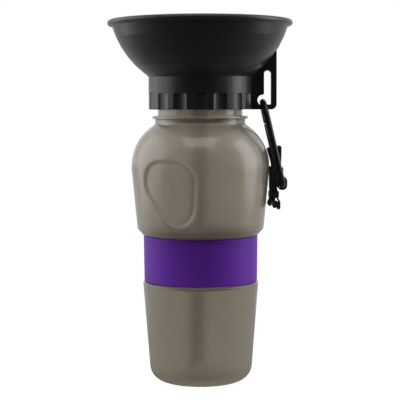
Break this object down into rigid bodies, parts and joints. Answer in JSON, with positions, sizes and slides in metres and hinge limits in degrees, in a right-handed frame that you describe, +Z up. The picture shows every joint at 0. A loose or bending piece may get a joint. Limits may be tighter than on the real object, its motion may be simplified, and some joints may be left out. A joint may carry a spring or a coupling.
{
  "type": "dog travel water bottle",
  "caption": "Squeeze water bottle for dogs with a screw-on drinking bowl, a dip tube, a rubber grip band and a gate clip that carries a folded wrist strap.",
  "frame": {"origin": "centre of the base, on the floor, on the bottle's axis", "axes": "+Z up along the bottle's axis; -Y is the front; the hanger plate and its clip are on the +X side"},
  "size_m": [0.1108, 0.1108, 0.2176],
  "materials": {
    "bottle_plastic": "translucent grey, satin",
    "band_rubber": "purple, satin",
    "bowl_plastic": "black, glossy",
    "gasket_rubber": "soft, matte",
    "tube_plastic": "satin",
    "clip_metal": "black, satin",
    "pin_steel": "bare",
    "webbing": "woven, matte",
    "sewing_thread": "matte",
    "keeper_rubber": "matte"
  },
  "bodies": {
    "bottle": {"bottle": "bottle_plastic", "grip_band": "band_rubber"},
    "seal": {"cap_gasket": "gasket_rubber"},
    "bowl": {"bowl": "bowl_plastic", "dip_tube": "tube_plastic"},
    "clip": {"carabiner_frame": "clip_metal", "gate_pin": "pin_steel"},
    "gate": {"carabiner_gate": "clip_metal", "nose_pin": "pin_steel", "gate_spring": "pin_steel", "gate_plunger": "pin_steel"},
    "strap": {"strap_webbing": "webbing", "strap_stitching": "sewing_thread", "strap_keeper": "keeper_rubber"}
  },
  "joints": [
    {"name": "cap_lift", "type": "slide", "parent": "bottle", "child": "seal", "axis": [0, 0, 1], "range_m": [0, 0.00695]},
    {"name": "cap_turn", "type": "hinge", "parent": "seal", "child": "bowl", "pos_m": [0, 0, 0.165], "axis": [0, 0, 1], "range_deg": [0, 500]},
    {"name": "clip_swing", "type": "hinge", "parent": "bowl", "child": "clip", "pos_m": [0.03761, 0, 0.16875], "axis": [0, -1, 0], "range_deg": [0, 120]},
    {"name": "gate_open", "type": "hinge", "parent": "clip", "child": "gate", "pos_m": [0.04629, 0.0105, 0.13145], "axis": [0.974, 0, 0.2267], "range_deg": [0, 22], "stiffness_Nm_per_rad": 0.1, "springref_deg": -20.05},
    {"name": "strap_swing", "type": "hinge", "parent": "clip", "child": "strap", "pos_m": [0.04924, 0, 0.11879], "axis": [0, -1, 0], "range_deg": [-120, 0]}
  ],
  "couplings": [
    {"joint": "cap_lift", "follows": "cap_turn", "m_per_rad": 0.00079577},
    {"joint": "strap_swing", "follows": "clip_swing", "ratio": -1}
  ]
}
